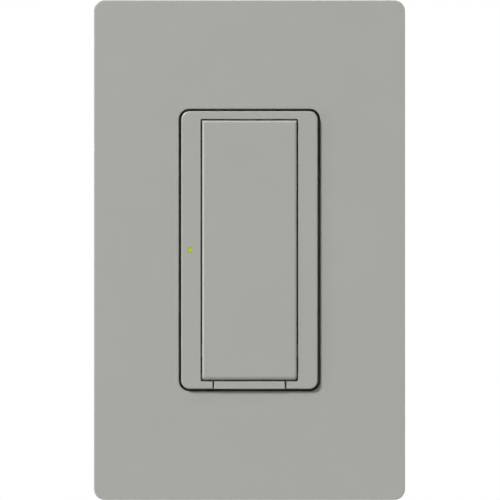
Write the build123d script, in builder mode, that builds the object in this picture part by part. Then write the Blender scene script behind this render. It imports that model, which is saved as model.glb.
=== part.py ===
from build123d import *
from math import radians, tan
import os

os.makedirs("parts", exist_ok=True)

# A one-gang wireless wall switch, in millimetres. +X is to the right, +Z is up, and -Y comes out of the wall.
# The origin lies in the wall plane, halfway between the two holes for the box screws.

# Clearances
pin_gap = 0.05
seat_gap = 0.05
snap_gap = 0.1
slip_gap = 0.3
side_gap = 0.5

# Faceplate, a clip-on moulding without screws
plate_width = 74.1
plate_depth = 7.5
plate_corner = 2.6
plate_edge_round = 0.25
plate_side_wall = 1.8
plate_front_wall = 2.0
plate_cavity_corner = 1.2
opening_width = 33.65
opening_height = 67.2
opening_corner = 2.5
opening_lip_round = 0.2
collar_wall = 1.2
collar_depth = 0.9
catch_reach = 1.0
catch_length = 12.0
catch_spacing = 70.0
catch_land = 0.4
catch_slope = 0.9
seat_rib_thick = 1.4
seat_rib_length = 12.0
seat_rib_spacing_x = 54.0
seat_rib_spacing_z = 92.0
pry_notch_width = 9.0
pry_notch_depth = 1.2

# Yoke, the stamped aluminium strap that is screwed to the wall box
yoke_thick = 1.5
yoke_side_inset = 2.25
yoke_end_over = 2.3
yoke_ear_over = 11.15
yoke_end_inset = 4.9
yoke_corner = 2.5
ear_width = 34.0
box_screw_spacing = 83.3
box_hole_radius = 2.2
adapter_screw_inset = 4.4
adapter_thread_radius = 1.4
window_corner = 1.5
window_top_inset = 2.6
window_bottom_web = 1.6
score_depth = 0.5
score_offset = 2.0
ground_tab_width = 8.0
ground_tab_reach = 10.5
ground_tab_bend = 1.6
ground_thread_radius = 1.75
ground_screw_depth = 6.0

# Adapter plate, which the faceplate clips on
adapter_thick = 1.6
adapter_corner = 1.6
adapter_rim = 1.2
adapter_rim_height = 0.9
adapter_screw_window_width = 11.0
adapter_screw_window_height = 8.0
adapter_screw_hole = 1.9
adapter_screw_sink = 2.8
flex_slot_length = 18.0
flex_slot_width = 1.6
flex_slot_inset = 3.4

# Bezel, the frame round the paddle
bezel_side_gap = 0.6
bezel_end_gap = 0.55
bezel_corner = 2.0
bezel_proud = 1.25
bezel_edge_round = 0.3
bezel_face = 1.6
skirt_wall = 1.0
flange_reach = 2.3
flange_thick = 1.2
guide_wall = 1.2
guide_depth = 1.6
bearing_half_height = 2.6
bearing_wall = 1.5
hook_width = 5.0
hook_thick = 1.0
hook_reach = 0.9
hook_height = 1.6
hook_upper_z = 21.5
hook_lower_z = -9.0
bearing_mouth = 1.5
strip_side = 4.635
strip_top = 1.9
strip_bottom = 1.8
aperture_corner = 0.3
aperture_lip_round = 0.15

# Paddle, hinged near its top
paddle_gap = 0.32
paddle_proud = 0.35
paddle_rise = 0.3
paddle_wall = 1.3
paddle_edge_round = 0.6
paddle_end_round = 1.05
paddle_rear = 5.4
paddle_rib = 0.9
pivot_drop = 3.3
pin_radius = 1.0
pin_length = 1.2
pivot_ear_radius = 1.9
stop_lug_depth = 1.1
stop_lug_length = 3.0
stop_lug_reach = 0.85
stop_lug_rise = 7.0
striker_radius = 1.4
striker_round = 0.35
tact_lever = 21.5

# Service tab with its slide
tab_top_width = 16.7
tab_bottom_width = 17.0
tab_slit = 0.3
tab_edge_round = 0.15
tab_depth = 5.3
tab_travel = 3.5
tongue_reach = 0.7
tongue_height = 0.7
tongue_length = 1.3
nail_groove = 0.45
nail_groove_width = 1.6
nail_groove_inset = 1.4
arm_width = 6.0
arm_thick = 1.3
arm_tail = 1.5

# Switch behind the service tab
carrier_width = 18.0
carrier_height = 2.2
carrier_thick = 2.8
carrier_chamfer = 0.4
bridge_width = 16.4
bridge_height = 1.9
bridge_thick = 0.8
bridge_stud_radius = 0.7
contact_spacing = 12.4
contact_tip_radius = 0.9
contact_tip_height = 0.7
contact_strip_thick = 0.8
contact_strip_width = 2.6
contact_foot = 4.0

# Light pipe and status light
light_inset = 2.125
light_z = 0.0
light_tip_radius = 0.55
light_body_radius = 0.9
led_width = 1.3
led_length = 2.0
led_height = 0.8
led_chamfer = 0.1

# Back housing, a deep moulded cup behind the yoke
housing_side_over = 6.025
housing_end_over = 2.65
housing_depth = 33.0
housing_wall = 1.8
housing_floor = 1.8
housing_corner = 2.0
housing_rear_round = 1.5
housing_draft = 0.8
boss_radius = 2.6
boss_depth = 9.0
boss_inset = 2.25
boss_notch_rise = 5.3
housing_screw_radius = 1.1
housing_screw_head = 2.1
housing_screw_length = 7.5
screw_sink_angle = 90
ground_notch_width = 7.5
ground_notch_height = 9.5
ground_notch_depth = 12.0
ground_notch_wall = 1.4

# Boards
board_thick = 1.6
board_edge_gap = 0.9
control_board_back = 3.4
control_board_bottom_gap = 0.8
power_board_back = 12.4
board_rib_height = 4.8
board_rib_reach = 4.6
board_rib_drop = 11.65
board_rib_lower_z = -5.0
board_screw_radius = 0.8
board_screw_head = 1.5
board_screw_head_height = 1.0
board_screw_length = 5.0
board_screw_inset = 2.3
post_radius = 2.6
post_inset = 4.3

# Parts on the control board
tact_size = 6.0
tact_corner = 0.5
tact_body_height = 3.5
tact_height = 5.0
tact_plunger_radius = 1.75
tact_plunger_skirt = 0.6
tact_plunger_chamfer = 0.3
tact_sink = 0.5
shield_width = 14.0
shield_height = 11.0
shield_depth = 2.4
shield_wall = 0.25
shield_corner = 0.7
shield_x = 2.5
shield_z = -14.0
processor_size = 7.0
processor_depth = 1.0
processor_chamfer = 0.12
processor_rise = 11.5
antenna_inset = 1.425
antenna_thick = 0.4
antenna_front = 6.0
antenna_width = 2.2
antenna_half_length = 18.0
antenna_leg = 1.4
header_pins = 5
header_pitch = 2.54
header_depth = 2.6
header_drop = 4.6
header_pin_width = 0.64

# Parts on the power board, packed up from its lower post and in from its edges
part_gap = 0.5
edge_inset = 1.2
relay_width = 15.6
relay_height = 19.2
relay_floor_gap = 2.0
relay_corner = 1.0
relay_bevel = 0.5
core_width = 14.0
core_height = 13.0
core_depth = 11.0
core_leg = 2.6
winding_gap = 0.4
winding_over = 1.3
winding_corner = 2.6
electrolytic_spacing = 10.0
electrolytic_drop = 5.2
electrolytic_radius = 4.0
electrolytic_floor_gap = 4.7
electrolytic_groove = 0.35
electrolytic_groove_rise = 2.0
electrolytic_bevel = 0.4
film_width = 6.0
film_height = 10.0
film_depth = 11.0
film_chamfer = 0.4
varistor_radius = 5.0
varistor_thick = 3.6
varistor_stand = 1.0
varistor_bevel = 1.0
varistor_lead_radius = 0.45
varistor_lead_spacing = 5.0
resistor_radius = 1.9
resistor_length = 9.0
resistor_bevel = 0.5

# Screw terminals in the housing's sides
terminal_spacing = 20.0
terminal_pocket_width = 11.0
terminal_pocket_depth = 11.6
terminal_pocket_reach = 7.45
terminal_wall = 1.2
terminal_plate_thick = 1.0
terminal_plate_width = 8.4
terminal_plate_length = 9.4
terminal_tail_width = 3.2
terminal_tail_over = 0.9
wire_space = 1.9
clamp_thick = 1.2
clamp_size = 8.2
clamp_hole = 2.15
terminal_screw_radius = 1.95
terminal_head_radius = 3.5
terminal_head_height = 1.8
wire_hole_radius = 1.3
wire_hole_spacing = 5.2

# Screws that show when the faceplate is off, and the bevel of every raised head
screw_head_bevel = 0.4
adapter_screw_radius = 1.35
adapter_screw_length = 4.2
ground_screw_radius = 1.7
ground_screw_length = 7.0
ground_head_radius = 3.5
ground_head_height = 2.2
ground_washer_height = 0.7

# Places that follow from the sizes above, as distances forward of the wall
adapter_front = yoke_thick + adapter_thick
plate_inner_front = plate_depth - plate_front_wall
bezel_front = plate_depth + bezel_proud
bezel_inner_front = bezel_front - bezel_face
guide_rear = bezel_inner_front - guide_depth
pivot_front = yoke_thick + side_gap + bearing_wall + pin_radius + pin_gap
tact_top = tact_height - control_board_back
tab_rear = bezel_front - tab_depth

# Sizes and places across the front
yoke_height = box_screw_spacing + 2 * yoke_ear_over
plate_height = yoke_height + 2 * (yoke_end_inset + plate_side_wall)
adapter_screw_spacing = yoke_height - 2 * adapter_screw_inset
bezel_width = opening_width - 2 * bezel_side_gap
bezel_height = opening_height - 2 * bezel_end_gap
bezel_bottom = -bezel_height / 2
aperture_width = bezel_width - 2 * strip_side
aperture_height = bezel_height - strip_top - strip_bottom
paddle_width = aperture_width - 2 * paddle_gap
paddle_height = aperture_height - 2 * paddle_gap
aperture_bottom = bezel_bottom + strip_bottom
aperture_centre = aperture_bottom + aperture_height / 2
paddle_top = aperture_centre + paddle_height / 2
paddle_bottom = aperture_centre - paddle_height / 2
pivot_z = paddle_top - pivot_drop
tact_z = pivot_z - tact_lever
processor_z = tact_z + processor_rise
skirt_inner_x = bezel_width / 2 - skirt_wall
light_x = light_inset - bezel_width / 2
antenna_x = skirt_inner_x - antenna_inset
guide_inner_x = aperture_width / 2
tab_middle = (aperture_bottom + bezel_bottom) / 2
tab_notch_width = tab_bottom_width + 2 * tab_slit
arm_slot_width = arm_width + 2 * slip_gap
arm_slot_height = arm_thick + 2 * slip_gap

# Sizes and places behind the wall
housing_width = bezel_width + 2 * housing_side_over
housing_height = bezel_height + 2 * housing_end_over
yoke_width = plate_width - 2 * (plate_side_wall + catch_reach + yoke_side_inset)
yoke_body_height = housing_height + 2 * yoke_end_over
window_half_width = skirt_inner_x + slip_gap
window_top = bezel_height / 2 - window_top_inset
window_bottom = tab_middle + arm_slot_height / 2 + window_bottom_web
housing_inner_x = housing_width / 2 - housing_wall
housing_inner_z = housing_height / 2 - housing_wall
boss_x = housing_inner_x - boss_inset
boss_z = housing_inner_z - boss_inset
notch_inner_x = -housing_width / 2 + ground_notch_width
notch_top_z = -housing_height / 2 + ground_notch_height
notch_block_x = notch_inner_x + ground_notch_wall
notch_block_z = notch_top_z + ground_notch_wall
boss_notch_z = notch_block_z + boss_notch_rise
housing_screw_points = [(-boss_x, boss_z), (boss_x, boss_z), (boss_x, -boss_z), (-boss_x, boss_notch_z)]
board_rib_upper_z = boss_z - board_rib_drop
ground_screw_z = notch_top_z - ground_notch_height / 2
ground_tab_x = -housing_width / 2 + yoke_thick / 2
control_board_rear = control_board_back + board_thick
power_board_rear = power_board_back + board_thick
board_half_width = housing_inner_x - board_edge_gap
board_top = housing_inner_z - board_edge_gap
post_z = housing_inner_z - post_inset
header_z = post_z - header_drop
carrier_front = tab_travel + snap_gap
carrier_rear = carrier_front + carrier_thick
bridge_rear = carrier_rear + bridge_thick
contact_rear = bridge_rear + contact_tip_height
terminal_z_places = (terminal_spacing / 2, -terminal_spacing / 2)
terminal_pocket_floor = housing_width / 2 - terminal_pocket_reach
pocket_block = terminal_pocket_floor - terminal_wall
pocket_front = power_board_rear + terminal_wall
pocket_rear = pocket_front + terminal_pocket_depth
terminal_screw_back = pocket_front + terminal_pocket_depth / 2
clamp_inner_x = terminal_pocket_floor + terminal_plate_thick + wire_space
clamp_outer_x = clamp_inner_x + clamp_thick

# Sizes and places on the power board
relay_depth = housing_depth - housing_floor - power_board_rear - relay_floor_gap
electrolytic_height = housing_depth - housing_floor - power_board_rear - electrolytic_floor_gap
relay_bottom = post_radius + part_gap - post_z
relay_z = relay_bottom + relay_height / 2
core_z = relay_bottom + relay_height + part_gap + winding_over + core_height / 2
core_x = part_gap + core_width / 2 - pocket_block
varistor_x = pocket_block - part_gap - varistor_thick / 2
electrolytic_z = post_z - electrolytic_drop
film_x = housing_inner_x - edge_inset - film_width / 2
film_z = housing_inner_z - edge_inset - film_height / 2
resistor_x = edge_inset + resistor_radius - housing_inner_x
resistor_z = housing_inner_z - edge_inset - resistor_length / 2


def front_plane(forward):
    """A sketch plane that faces the room, this far in front of the wall."""
    return Plane.XZ.offset(forward)


def side_plane(x, side=1):
    """A sketch plane that faces outwards along X, whose sketch x is Y and whose sketch y is Z."""
    return Plane(origin=(x, 0, 0), x_dir=(0, side, 0), z_dir=(side, 0, 0))


def turned_screw(seat, head_radius, head_height, shank_radius, shank_length):
    """Adds a round-headed screw to the part being made. The seat plane faces the way the head points."""
    with BuildSketch(seat) as head_outline:
        Circle(head_radius)
    head = extrude(head_outline.sketch, amount=head_height)
    crown = head.edges().filter_by(GeomType.CIRCLE).sort_by(Axis(seat.origin, seat.z_dir))[-1]
    chamfer(crown, length=screw_head_bevel)
    with BuildSketch(seat) as shank_outline:
        Circle(shank_radius)
    extrude(shank_outline.sketch, amount=-shank_length)


def sunk_screw(seat, head_radius, shank_radius, shank_length):
    """Adds a countersunk screw to the part being made, with its flat head level with the seat plane."""
    with BuildSketch(seat) as head_outline:
        Circle(head_radius)
    extrude(head_outline.sketch, amount=shank_radius - head_radius, taper=screw_sink_angle / 2)
    with BuildSketch(seat) as shank_outline:
        Circle(shank_radius)
    extrude(shank_outline.sketch, amount=-shank_length)


def room_seat(x, forward, z):
    """The seat of a screw that is driven from the room side, this far in front of the wall."""
    return Plane(origin=(x, -forward, z), x_dir=(1, 0, 0), z_dir=(0, -1, 0))


def board_screw(seat):
    """Adds one of the small pan-headed screws that hold the boards."""
    turned_screw(seat, board_screw_head, board_screw_head_height, board_screw_radius, board_screw_length)


def finish(piece, name):
    """Labels a finished piece and writes it."""
    piece.part.label = name
    export_step(piece.part, f"parts/{name}.step")


# Faceplate: a shallow moulded tray with the opening, its collar, four snap catches and seat ribs
with BuildPart() as faceplate:
    with BuildSketch(front_plane(0)):
        RectangleRounded(plate_width, plate_height, plate_corner)
    extrude(amount=plate_depth)
    fillet(faceplate.faces().sort_by(Axis.Y)[0].edges(), radius=plate_edge_round)
    cavity_width = plate_width - 2 * plate_side_wall
    cavity_height = plate_height - 2 * plate_side_wall
    with BuildSketch(front_plane(0)):
        RectangleRounded(cavity_width, cavity_height, plate_cavity_corner)
    extrude(amount=plate_inner_front, mode=Mode.SUBTRACT)
    with BuildSketch(front_plane(plate_inner_front - collar_depth)):
        RectangleRounded(opening_width, opening_height, opening_corner)
        offset(amount=collar_wall)
    extrude(amount=collar_depth)
    with BuildSketch(front_plane(0)):
        RectangleRounded(opening_width, opening_height, opening_corner)
    extrude(amount=plate_depth, mode=Mode.SUBTRACT)
    lip = faceplate.faces().sort_by(Axis.Y)[0].inner_wires()[0]
    fillet(lip.edges(), radius=opening_lip_round)
    with BuildSketch(front_plane(adapter_front + seat_gap)):
        with GridLocations(seat_rib_spacing_x, seat_rib_spacing_z, 2, 2):
            Rectangle(seat_rib_thick, seat_rib_length)
    extrude(amount=plate_inner_front - adapter_front - seat_gap)
    for catch_z in (-catch_spacing / 2, catch_spacing / 2):
        with BuildSketch(Plane.XY.offset(catch_z - catch_length / 2)):
            catch_root = plate_width / 2 - plate_side_wall / 2
            catch_tip = plate_width / 2 - plate_side_wall - catch_reach
            catch_front = snap_gap - yoke_thick
            with BuildLine():
                Polyline(
                    (catch_root, catch_front),
                    (catch_tip, catch_front),
                    (catch_tip, catch_front + catch_land),
                    (catch_root, catch_front + catch_land + catch_slope),
                    close=True,
                )
            make_face()
            mirror(about=Plane.YZ)
        extrude(amount=catch_length)
    with BuildSketch(front_plane(0)):
        with Locations((0, plate_side_wall / 2 - plate_height / 2)):
            Rectangle(pry_notch_width, plate_side_wall)
    extrude(amount=pry_notch_depth, mode=Mode.SUBTRACT)
finish(faceplate, "faceplate")

# Yoke: a stamped strap with a window for the switch, break-off sides and a bent ground tab
with BuildPart(front_plane(yoke_thick)) as yoke:
    with BuildSketch(front_plane(0)):
        RectangleRounded(yoke_width, yoke_body_height, yoke_corner)
        RectangleRounded(ear_width, yoke_height, yoke_corner)
        window_height = window_top - window_bottom
        with Locations((0, window_bottom + window_height / 2)):
            RectangleRounded(2 * window_half_width, window_height, window_corner, mode=Mode.SUBTRACT)
        with Locations((0, tab_middle)):
            Rectangle(arm_slot_width, arm_slot_height, mode=Mode.SUBTRACT)
        tab_cut = (yoke_width - housing_width) / 2 + side_gap
        with Locations((-yoke_width / 2, ground_screw_z)):
            Rectangle(2 * tab_cut, ground_tab_width + 2 * side_gap, mode=Mode.SUBTRACT)
    extrude(amount=yoke_thick)
    with GridLocations(0, box_screw_spacing, 1, 2):
        Hole(box_hole_radius)
    with GridLocations(0, adapter_screw_spacing, 1, 2):
        Hole(adapter_thread_radius)
    with Locations(*housing_screw_points):
        sink_radius = housing_screw_head + pin_gap
        CounterSinkHole(housing_screw_radius + pin_gap, sink_radius, counter_sink_angle=screw_sink_angle)
    score_x = housing_width / 2 + score_offset
    with BuildSketch(Plane.XY.offset(-yoke_body_height / 2)):
        for side in (-1, 1):
            with BuildLine():
                Polyline(
                    (side * score_x - score_depth, -yoke_thick),
                    (side * score_x + score_depth, -yoke_thick),
                    (side * score_x, score_depth - yoke_thick),
                    close=True,
                )
            make_face()
    extrude(amount=yoke_body_height, mode=Mode.SUBTRACT)
    with BuildSketch(Plane.XY.offset(ground_screw_z - ground_tab_width / 2)):
        with BuildLine():
            FilletPolyline(
                (ground_tab_x + 2 * ground_tab_bend, -yoke_thick / 2),
                (ground_tab_x, -yoke_thick / 2),
                (ground_tab_x, ground_tab_reach),
                radius=ground_tab_bend,
            )
        trace(line_width=yoke_thick)
    extrude(amount=ground_tab_width)
    with BuildSketch(side_plane(ground_tab_x - yoke_thick)):
        with Locations((ground_screw_depth, ground_screw_z)):
            Circle(ground_thread_radius)
    extrude(amount=2 * yoke_thick, mode=Mode.SUBTRACT)
finish(yoke, "yoke")

# Adapter plate: a thin rimmed plate on the yoke's front, whose long edges flex into the faceplate's catches
adapter_width = cavity_width - 2 * side_gap
adapter_height = cavity_height - 2 * side_gap
with BuildPart(front_plane(adapter_front)) as adapter_plate:
    with BuildSketch(front_plane(yoke_thick)):
        RectangleRounded(adapter_width, adapter_height, adapter_corner)
    extrude(amount=adapter_thick)
    with BuildSketch(front_plane(adapter_front)):
        RectangleRounded(adapter_width, adapter_height, adapter_corner)
        offset(amount=-adapter_rim, kind=Kind.INTERSECTION, mode=Mode.SUBTRACT)
    extrude(amount=adapter_rim_height)
    flange_width = bezel_width + 2 * flange_reach
    flange_height = bezel_height + 2 * flange_reach
    flange_corner = bezel_corner + flange_reach
    with BuildSketch(front_plane(yoke_thick)):
        RectangleRounded(flange_width, flange_height, flange_corner)
        offset(amount=slip_gap)
        with GridLocations(0, box_screw_spacing, 1, 2):
            SlotOverall(adapter_screw_window_width, adapter_screw_window_height)
        with GridLocations(adapter_width - 2 * flex_slot_inset, catch_spacing, 2, 2):
            SlotOverall(flex_slot_length, flex_slot_width, rotation=90)
    extrude(amount=adapter_thick, mode=Mode.SUBTRACT)
    with GridLocations(0, adapter_screw_spacing, 1, 2):
        CounterSinkHole(adapter_screw_hole, adapter_screw_sink, counter_sink_angle=screw_sink_angle)
finish(adapter_plate, "adapter_plate")

# Adapter screws: flat heads sunk in the adapter plate, threaded into the yoke
with BuildPart() as adapter_screws:
    for screw_z in (-adapter_screw_spacing / 2, adapter_screw_spacing / 2):
        screw_seat = room_seat(0, adapter_front, screw_z)
        sunk_screw(screw_seat, adapter_screw_sink - seat_gap, adapter_screw_radius, adapter_screw_length)
finish(adapter_screws, "adapter_screws")

# Bezel: a moulded frame with the paddle's guide walls and bearings, four snap hooks and the tab's slide
with BuildPart() as bezel:
    with BuildSketch(front_plane(yoke_thick)):
        RectangleRounded(bezel_width, bezel_height, bezel_corner)
    extrude(amount=bezel_front - yoke_thick)
    fillet(bezel.faces().sort_by(Axis.Y)[0].edges(), radius=bezel_edge_round)
    with BuildSketch(front_plane(yoke_thick)):
        RectangleRounded(flange_width, flange_height, flange_corner)
    extrude(amount=flange_thick)
    with BuildSketch(front_plane(yoke_thick)):
        RectangleRounded(2 * skirt_inner_x, bezel_height - 2 * skirt_wall, bezel_corner - skirt_wall / 2)
    extrude(amount=bezel_inner_front - yoke_thick, mode=Mode.SUBTRACT)
    with BuildSketch(front_plane(guide_rear)):
        with Locations((0, aperture_centre)):
            Rectangle(aperture_width + 2 * guide_wall, aperture_height + skirt_wall)
            Rectangle(aperture_width, aperture_height, mode=Mode.SUBTRACT)
    extrude(amount=guide_depth)
    for side in (-1, 1):
        with BuildSketch(side_plane(side * guide_inner_x, side)):
            with Locations((-side * (pivot_front + bezel_inner_front) / 2, pivot_z)):
                Rectangle(bezel_inner_front - pivot_front, 2 * bearing_half_height)
            with Locations((-side * pivot_front, pivot_z)):
                Circle(bearing_half_height)
        extrude(amount=guide_wall)
    with BuildSketch(front_plane(guide_rear)):
        with Locations((0, aperture_centre)):
            RectangleRounded(aperture_width, aperture_height, aperture_corner)
    extrude(amount=bezel_front - guide_rear, mode=Mode.SUBTRACT)
    aperture_rim = bezel.faces().sort_by(Axis.Y)[0].inner_wires()[0]
    fillet(aperture_rim.edges(), radius=aperture_lip_round)
    for side in (-1, 1):
        with BuildSketch(side_plane(side * guide_inner_x, side)):
            with Locations((-side * pivot_front, pivot_z)):
                Circle(pin_radius + pin_gap)
                mouth_align = (Align.MIN if side > 0 else Align.MAX, Align.CENTER)
                Rectangle(bearing_half_height + side_gap, bearing_mouth, align=mouth_align)
        extrude(amount=guide_wall, mode=Mode.SUBTRACT)
    for hook_z in (hook_upper_z, hook_lower_z):
        with BuildSketch(Plane.XY.offset(hook_z - hook_width / 2)):
            hook_outer = window_half_width - slip_gap / 2
            hook_inner = hook_outer - hook_thick
            with BuildLine():
                Polyline(
                    (hook_inner, -guide_rear),
                    (hook_outer, -guide_rear),
                    (hook_outer, seat_gap),
                    (hook_outer + hook_reach, seat_gap),
                    (hook_outer + hook_reach, 2 * seat_gap),
                    (hook_outer - hook_thick / 2, hook_height),
                    (hook_inner, hook_height),
                    close=True,
                )
            make_face()
            mirror(about=Plane.YZ)
        extrude(amount=hook_width)
    with BuildSketch(front_plane(yoke_thick)):
        with Locations((light_x, light_z)):
            Circle(light_tip_radius + pin_gap)
    extrude(amount=bezel_front, mode=Mode.SUBTRACT)
    notch_middle = (aperture_bottom + paddle_gap + bezel_bottom) / 2
    notch_height = aperture_bottom + paddle_gap - bezel_bottom
    with BuildSketch(front_plane(tab_rear - snap_gap)):
        with Locations((0, notch_middle)):
            Rectangle(tab_notch_width, notch_height)
    extrude(amount=tab_depth + snap_gap, mode=Mode.SUBTRACT)
    with BuildSketch(front_plane(yoke_thick)):
        with Locations((0, notch_middle)):
            Rectangle(arm_slot_width, notch_height)
    extrude(amount=tab_rear - yoke_thick, mode=Mode.SUBTRACT)
    with BuildSketch(front_plane(tab_rear - snap_gap)):
        with Locations((0, tab_middle)):
            Rectangle(tab_notch_width + 2 * tongue_reach, tongue_height + 2 * snap_gap)
    extrude(amount=tab_travel + tongue_length + 2 * snap_gap, mode=Mode.SUBTRACT)
finish(bezel, "bezel")

# Paddle: a slightly tapered shell with ribs, stub pins near its top, stop lugs near its foot and a striker
with BuildPart() as paddle:
    with BuildSketch(side_plane(-paddle_width / 2)):
        paddle_top_front = bezel_front + paddle_proud
        paddle_foot_front = paddle_top_front + paddle_rise
        with BuildLine():
            Polyline(
                (-paddle_rear, paddle_top),
                (-paddle_top_front, paddle_top),
                (-paddle_foot_front, paddle_bottom),
                (-paddle_rear, paddle_bottom),
                close=True,
            )
        make_face()
    extrude(amount=paddle_width)
    front_face = paddle.faces().sort_by(Axis.Y)[0]
    foot_edge = front_face.edges().sort_by(Axis.Z)[0]
    fillet(foot_edge, radius=paddle_end_round)
    rim_face = paddle.faces().filter_by(GeomType.PLANE).sort_by(Axis.Y)[0]
    fillet(rim_face.edges().sort_by(Axis.Z)[1:], radius=paddle_edge_round)
    bay_width = (paddle_width - 2 * paddle_wall - 2 * paddle_rib) / 3
    for bay in range(3):
        with BuildSketch(side_plane(-paddle_width / 2 + paddle_wall + bay * (bay_width + paddle_rib))):
            with BuildLine():
                Polyline(
                    (-paddle_rear, paddle_top - paddle_wall),
                    (paddle_wall - paddle_top_front, paddle_top - paddle_wall),
                    (paddle_wall - paddle_foot_front, paddle_bottom + paddle_wall),
                    (-paddle_rear, paddle_bottom + paddle_wall),
                    close=True,
                )
            make_face()
            for rib_z in (tact_z, (tact_z + pivot_z) / 2, (tact_z + paddle_bottom) / 2):
                with Locations((-paddle_rear, rib_z)):
                    Rectangle(2 * paddle_foot_front, paddle_rib, mode=Mode.SUBTRACT)
        extrude(amount=bay_width, mode=Mode.SUBTRACT)
    for side in (-1, 1):
        with BuildSketch(side_plane(side * (paddle_width / 2 - paddle_wall), side)):
            with Locations((-side * pivot_front, pivot_z)):
                Circle(pivot_ear_radius)
            with Locations((-side * (pivot_front + paddle_rear) / 2, pivot_z)):
                Rectangle(paddle_rear - pivot_front + paddle_rib, 2 * pivot_ear_radius)
            lug_front = guide_rear - snap_gap
            lug_z = paddle_bottom + stop_lug_rise
            with Locations((-side * (lug_front - stop_lug_depth + paddle_rear + paddle_rib) / 2, lug_z)):
                Rectangle(paddle_rear + paddle_rib - lug_front + stop_lug_depth, stop_lug_length)
        extrude(amount=paddle_wall)
        with BuildSketch(side_plane(side * (paddle_width / 2 - paddle_wall), side)):
            with Locations((-side * pivot_front, pivot_z)):
                Circle(pin_radius)
        extrude(amount=paddle_wall + pin_length)
        with BuildSketch(side_plane(side * (paddle_width / 2 - paddle_wall), side)):
            with Locations((-side * (lug_front - stop_lug_depth / 2), lug_z)):
                Rectangle(stop_lug_depth, stop_lug_length)
        extrude(amount=paddle_wall + stop_lug_reach)
    with BuildSketch(front_plane(tact_top + snap_gap)):
        with Locations((0, tact_z)):
            Circle(striker_radius)
    extrude(amount=paddle_top_front - paddle_wall - tact_top)
    fillet(paddle.edges().filter_by(GeomType.CIRCLE).sort_by(Axis.Y)[-1], radius=striker_round)
finish(paddle, "paddle")

# Light pipe: a clear stepped pin from the bezel's front to the status light
with BuildPart() as light_pipe:
    with BuildSketch(front_plane(bezel_inner_front - seat_gap)):
        with Locations((light_x, light_z)):
            Circle(light_tip_radius)
    extrude(amount=bezel_face + seat_gap)
    light_pipe_rear = -(control_board_back - led_height - 2 * snap_gap)
    with BuildSketch(front_plane(light_pipe_rear)):
        with Locations((light_x, light_z)):
            Circle(light_body_radius)
    extrude(amount=bezel_inner_front - seat_gap - light_pipe_rear)
finish(light_pipe, "light_pipe")

# Service tab: the moulded slider below the paddle, with its tongues, nail groove and arm
with BuildPart() as service_tab:
    tab_half_top = tab_top_width / 2
    tab_half_bottom = tab_bottom_width / 2
    with BuildSketch(front_plane(tab_rear)):
        with BuildLine():
            Polyline(
                (-tab_half_top, aperture_bottom),
                (tab_half_top, aperture_bottom),
                (tab_half_bottom, bezel_bottom),
                (-tab_half_bottom, bezel_bottom),
                close=True,
            )
        make_face()
    extrude(amount=tab_depth)
    tab_face = service_tab.faces().sort_by(Axis.Y)[0]
    fillet(tab_face.edges(), radius=tab_edge_round)
    with BuildSketch(front_plane(tab_rear)):
        with Locations((0, tab_middle)):
            Rectangle(tab_notch_width + 2 * (tongue_reach - snap_gap), tongue_height)
    extrude(amount=tongue_length)
    with BuildSketch(side_plane(-arm_width)):
        with Locations((nail_groove_inset + nail_groove_width / 2 - bezel_front, bezel_bottom)):
            Rectangle(nail_groove_width, 2 * nail_groove)
    extrude(amount=2 * arm_width, mode=Mode.SUBTRACT)
    with BuildSketch(front_plane(tab_rear)):
        with Locations((0, tab_middle)):
            Rectangle(arm_width, arm_thick)
    extrude(amount=-tab_rear - carrier_front - arm_tail)
finish(service_tab, "service_tab")

# Contact carrier: the moulded bar clipped over the arm's end behind the yoke
with BuildPart() as contact_carrier:
    with BuildSketch(front_plane(-carrier_front)):
        with Locations((0, tab_middle)):
            Rectangle(carrier_width, carrier_height)
    extrude(amount=-carrier_thick)
    chamfer(contact_carrier.edges().filter_by(Axis.Z), length=carrier_chamfer)
    with BuildSketch(front_plane(-carrier_front)):
        with Locations((0, tab_middle)):
            Rectangle(arm_width + 2 * seat_gap, arm_thick + 2 * seat_gap)
    extrude(amount=-arm_tail - seat_gap, mode=Mode.SUBTRACT)
    with BuildSketch(front_plane(-carrier_rear)):
        with Locations((0, tab_middle)):
            Circle(bridge_stud_radius)
    extrude(amount=-bridge_thick)
finish(contact_carrier, "contact_carrier")

# Moving bridge: a copper strip staked to the carrier
with BuildPart(front_plane(-carrier_rear)) as contact_bridge:
    with BuildSketch(front_plane(-carrier_rear)):
        with Locations((0, tab_middle)):
            SlotOverall(bridge_width, bridge_height)
            Circle(bridge_stud_radius + pin_gap, mode=Mode.SUBTRACT)
    extrude(amount=-bridge_thick)
finish(contact_bridge, "contact_bridge")

# Moving contact tips: two silver rivets under the bridge
with BuildPart() as moving_tips:
    with BuildSketch(front_plane(-bridge_rear)):
        with Locations((0, tab_middle)):
            with GridLocations(contact_spacing, 0, 2, 1):
                Circle(contact_tip_radius)
    extrude(amount=-contact_tip_height)
finish(moving_tips, "moving_tips")

# Fixed contacts: two bent brass strips that stand on the power board
for name, side in (("fixed_contact_left", -1), ("fixed_contact_right", 1)):
    with BuildPart() as fixed_contact:
        with BuildSketch(side_plane(side * contact_spacing / 2 - contact_strip_width / 2)):
            strip_front = contact_rear + seat_gap + contact_strip_thick / 2
            strip_rear = power_board_back - contact_strip_thick / 2
            with BuildLine():
                FilletPolyline(
                    (strip_front, tab_middle - contact_tip_radius),
                    (strip_front, tab_middle + 2 * contact_tip_radius),
                    (strip_rear, tab_middle + 2 * contact_tip_radius),
                    (strip_rear, tab_middle + 2 * contact_tip_radius + contact_foot),
                    radius=contact_strip_thick,
                )
            trace(line_width=contact_strip_thick)
        extrude(amount=contact_strip_width)
    finish(fixed_contact, name)

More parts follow.
